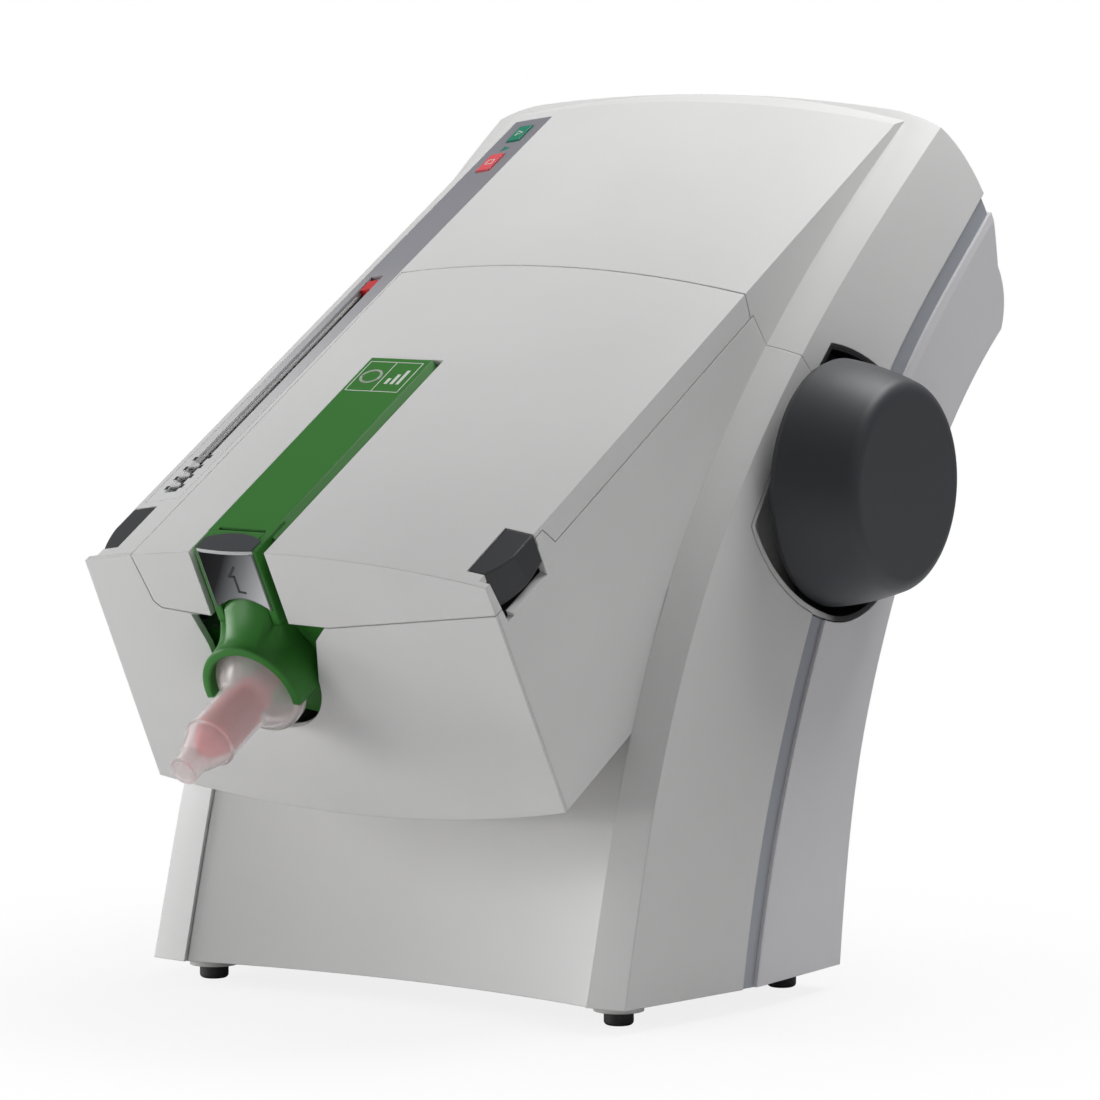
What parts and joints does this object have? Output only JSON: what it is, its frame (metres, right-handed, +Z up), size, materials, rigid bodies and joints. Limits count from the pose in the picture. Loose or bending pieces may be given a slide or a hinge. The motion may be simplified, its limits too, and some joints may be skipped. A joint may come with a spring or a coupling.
{
  "type": "dental impression mixer",
  "caption": "Tabletop dental impression mixer with a slanted hinged lid, green cartridge spine, clear mixing tip, side handwheel and level strip.",
  "frame": {"origin": "under the middle of the bounding box, on the surface it stands on", "axes": "+Z up, the front with the mixing tip faces -Y, +X to the side with the handwheel"},
  "size_m": [0.2784, 0.3698, 0.3509],
  "materials": {
    "housing_white": "satin",
    "rear_grey": "satin",
    "trim_silver": "satin",
    "strip_silver": "satin",
    "foot_grey": "satin",
    "foot_rubber": "matte",
    "recess_dark": "satin",
    "anthracite": "matte",
    "button_black": "satin",
    "green_plastic": "satin",
    "latch_dark": "satin",
    "tip_clear": "clear",
    "rotor_red": "gloss",
    "pointer_red": "satin",
    "key_green": "satin",
    "key_red": "satin",
    "sheet_steel": "satin",
    "shaft_steel": "machined",
    "brass_bush": "machined",
    "gear_nylon": "satin",
    "pinion_steel": "machined",
    "motor_case": "plain",
    "carriage_metal": "machined",
    "disc_plastic": "satin",
    "holder_dark": "satin",
    "psu_case": "plain",
    "board_green": "satin",
    "inlet_black": "satin"
  },
  "bodies": {
    "housing": {"top_cover": "housing_white", "side_shell_right": "housing_white", "side_shell_left": "housing_white", "head_front_panel": "housing_white", "head_floor": "housing_white", "base_front_panel": "housing_white", "trim_band": "trim_silver", "rear_cover": "rear_grey", "base_plate": "sheet_steel", "foot_discs": "foot_grey", "foot_pads": "foot_rubber", "wheel_recess_cup": "recess_dark", "indicator_strip": "strip_silver", "chassis_right": "sheet_steel", "chassis_left": "sheet_steel", "bay_wall": "sheet_steel", "bulkhead": "sheet_steel", "rod_bushes": "brass_bush", "mixer_bearings": "brass_bush", "wheel_bearings": "brass_bush", "cartridge_tray": "sheet_steel", "button_holders": "holder_dark", "hinge_pins": "shaft_steel", "cartridge_body": "green_plastic", "cartridge_spine": "green_plastic", "cartridge_collar": "green_plastic", "mixing_tip": "tip_clear", "mixer_motor": "motor_case", "feed_motor": "motor_case", "power_supply": "psu_case", "control_board": "board_green", "power_inlet": "inlet_black", "switch_frame": "inlet_black", "key_board": "board_green"},
    "lid_body": {"lid": "housing_white"},
    "right_button_body": {"button_right": "button_black"},
    "left_button_body": {"button_left": "button_black"},
    "start_key_body": {"start_key": "key_green"},
    "stop_key_body": {"stop_key": "key_red"},
    "switch_body": {"power_switch": "inlet_black"},
    "latch_body": {"cartridge_latch": "latch_dark"},
    "mixer_body": {"mixer_shaft": "shaft_steel", "mixer_gear": "gear_nylon", "mixing_rotor": "rotor_red"},
    "mixer_pinion_body": {"mixer_motor_pinion": "pinion_steel"},
    "wheel_body": {"handwheel": "anthracite", "wheel_shaft": "shaft_steel", "feed_pinion": "pinion_steel", "feed_gear": "gear_nylon"},
    "feed_body": {"plunger_carriage": "carriage_metal", "rod_large": "shaft_steel", "rod_small": "shaft_steel", "disc_large": "disc_plastic", "disc_small": "disc_plastic", "feed_rack": "shaft_steel", "pointer_rod": "shaft_steel", "level_pointer": "pointer_red"},
    "feed_pinion_body": {"feed_motor_pinion": "pinion_steel"}
  },
  "joints": [
    {"name": "lid_hinge", "type": "hinge", "parent": "housing", "child": "lid_body", "pos_m": [-0.01335, 0.05626, 0.28814], "axis": [-1, 0, 0], "range_deg": [0, 50]},
    {"name": "right_button_press", "type": "slide", "parent": "housing", "child": "right_button_body", "axis": [0, 0.4863, -0.8738], "range_m": [0, 0.0015], "stiffness_N_per_m": 600, "springref_m": -0.001},
    {"name": "left_button_press", "type": "slide", "parent": "housing", "child": "left_button_body", "axis": [0, 0.4863, -0.8738], "range_m": [0, 0.0015], "stiffness_N_per_m": 600, "springref_m": -0.001},
    {"name": "start_key_press", "type": "slide", "parent": "housing", "child": "start_key_body", "axis": [0, 0.4863, -0.8738], "range_m": [0, 0.001], "stiffness_N_per_m": 400, "springref_m": -0.0005},
    {"name": "stop_key_press", "type": "slide", "parent": "housing", "child": "stop_key_body", "axis": [0, 0.4863, -0.8738], "range_m": [0, 0.001], "stiffness_N_per_m": 400, "springref_m": -0.0005},
    {"name": "power_switch_rock", "type": "hinge", "parent": "housing", "child": "switch_body", "pos_m": [-0.02535, 0.04976, 0.03746], "axis": [1, 0, 0], "range_deg": [0, 14]},
    {"name": "latch_hinge", "type": "hinge", "parent": "housing", "child": "latch_body", "pos_m": [-0.03685, -0.14577, 0.18805], "axis": [-1, 0, 0], "range_deg": [0, 70]},
    {"name": "handwheel_turn", "type": "hinge", "parent": "housing", "child": "wheel_body", "pos_m": [-0.01335, 0.05581, 0.201], "axis": [1, 0, 0], "range_deg": [0, 481.2]},
    {"name": "plunger_feed", "type": "slide", "parent": "housing", "child": "feed_body", "axis": [0, -0.8738, -0.4863], "range_m": [0, 0.126]},
    {"name": "feed_motor_spin", "type": "hinge", "parent": "housing", "child": "feed_pinion_body", "pos_m": [-0.01335, 0.05581, 0.1635], "axis": [1, 0, 0], "range_deg": [-1925.8, 0]},
    {"name": "mixer_spin", "type": "hinge", "parent": "housing", "child": "mixer_body", "pos_m": [-0.03685, -0.12821, 0.13225], "axis": [0, -0.8738, -0.4863], "continuous": true},
    {"name": "mixer_motor_spin", "type": "hinge", "parent": "housing", "child": "mixer_pinion_body", "pos_m": [-0.03685, -0.11411, 0.10691], "axis": [0, -0.8738, -0.4863], "continuous": true}
  ],
  "couplings": [
    {"joint": "plunger_feed", "follows": "handwheel_turn", "m_per_rad": 0.015},
    {"joint": "feed_motor_spin", "follows": "handwheel_turn", "ratio": -4},
    {"joint": "mixer_motor_spin", "follows": "mixer_spin", "ratio": -3.1429}
  ]
}
